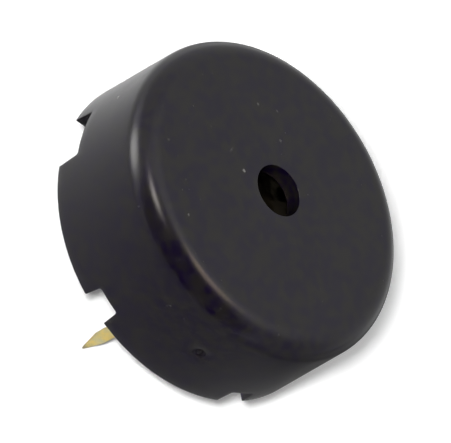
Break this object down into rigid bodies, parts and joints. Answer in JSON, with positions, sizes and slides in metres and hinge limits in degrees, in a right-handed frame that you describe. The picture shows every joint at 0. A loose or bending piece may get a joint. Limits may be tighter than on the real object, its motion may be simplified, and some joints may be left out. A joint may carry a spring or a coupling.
{
  "type": "piezo buzzer",
  "caption": "Round moulded piezo buzzer with a central sound hole, a notched skirt, a bender disc inside and flat pointed board pins with spring contacts.",
  "frame": {"origin": "centre of the seating rim, midway between the pins, in the plane that lies on the circuit board", "axes": "+Z out of the face with the sound hole, away from the board; the pins lie on the X axis"},
  "size_m": [0.022, 0.022, 0.0147],
  "materials": {
    "housing_plastic": "satin moulded",
    "base_plastic": "satin moulded",
    "diaphragm_brass": "rolled",
    "piezo_ceramic": "fired",
    "fired_silver": "matt fired paste",
    "silicone": "translucent bead",
    "terminal_brass": "stamped"
  },
  "bodies": {
    "root": {"housing": "housing_plastic", "base_plate": "base_plastic", "diaphragm_plate": "diaphragm_brass", "piezo_disc": "piezo_ceramic", "silver_electrode": "fired_silver", "diaphragm_adhesive": "silicone", "plate_terminal": "terminal_brass", "electrode_terminal": "terminal_brass"}
  },
  "joints": []
}
